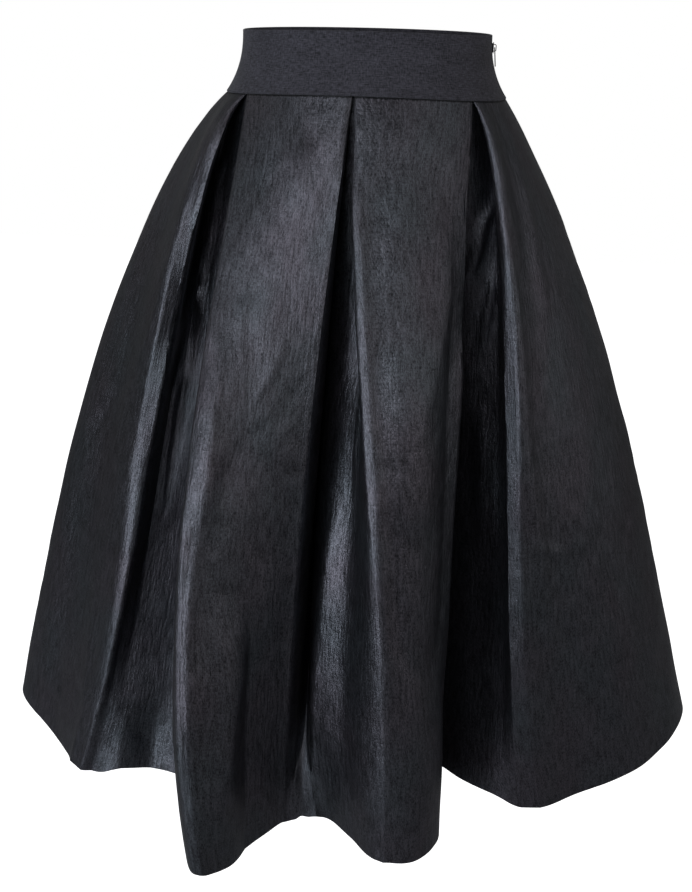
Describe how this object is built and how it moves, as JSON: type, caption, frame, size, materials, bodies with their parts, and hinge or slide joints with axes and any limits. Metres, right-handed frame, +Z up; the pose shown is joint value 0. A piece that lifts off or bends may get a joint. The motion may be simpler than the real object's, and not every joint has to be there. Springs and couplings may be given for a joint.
{
  "type": "pleated midi skirt",
  "caption": "Full midi skirt held open in its worn shape: a fitted waistband over deep inverted pleats that open into waves at the hem, with a concealed side zip.",
  "frame": {"origin": "centre of the waistband ring, halfway up the band, where the wearer's waist holds the skirt", "axes": "+Z up out of the waist opening, front of the skirt towards -Y, wearer's left towards +X"},
  "size_m": [0.7793, 0.6272, 0.7925],
  "materials": {
    "taffeta": "crisp taffeta with a bluish sheen on its folds",
    "band_cloth": "matte fine plain weave",
    "tape_cloth": "matte woven tape",
    "zip_metal": "satin black lacquer"
  },
  "bodies": {
    "cloth": {"skirt_front": "taffeta", "skirt_back": "taffeta", "waistband_front": "band_cloth", "waistband_back": "band_cloth", "zip_tape_front": "tape_cloth", "zip_tape_back": "tape_cloth", "zip_slider": "zip_metal"},
    "pull_tab": {"zip_pull_tab": "zip_metal"}
  },
  "joints": [
    {"name": "pull_tab_hinge", "type": "hinge", "parent": "cloth", "child": "pull_tab", "pos_m": [0.12577, 0, 0.018], "axis": [0, -1, 0], "range_deg": [0, 150]}
  ]
}
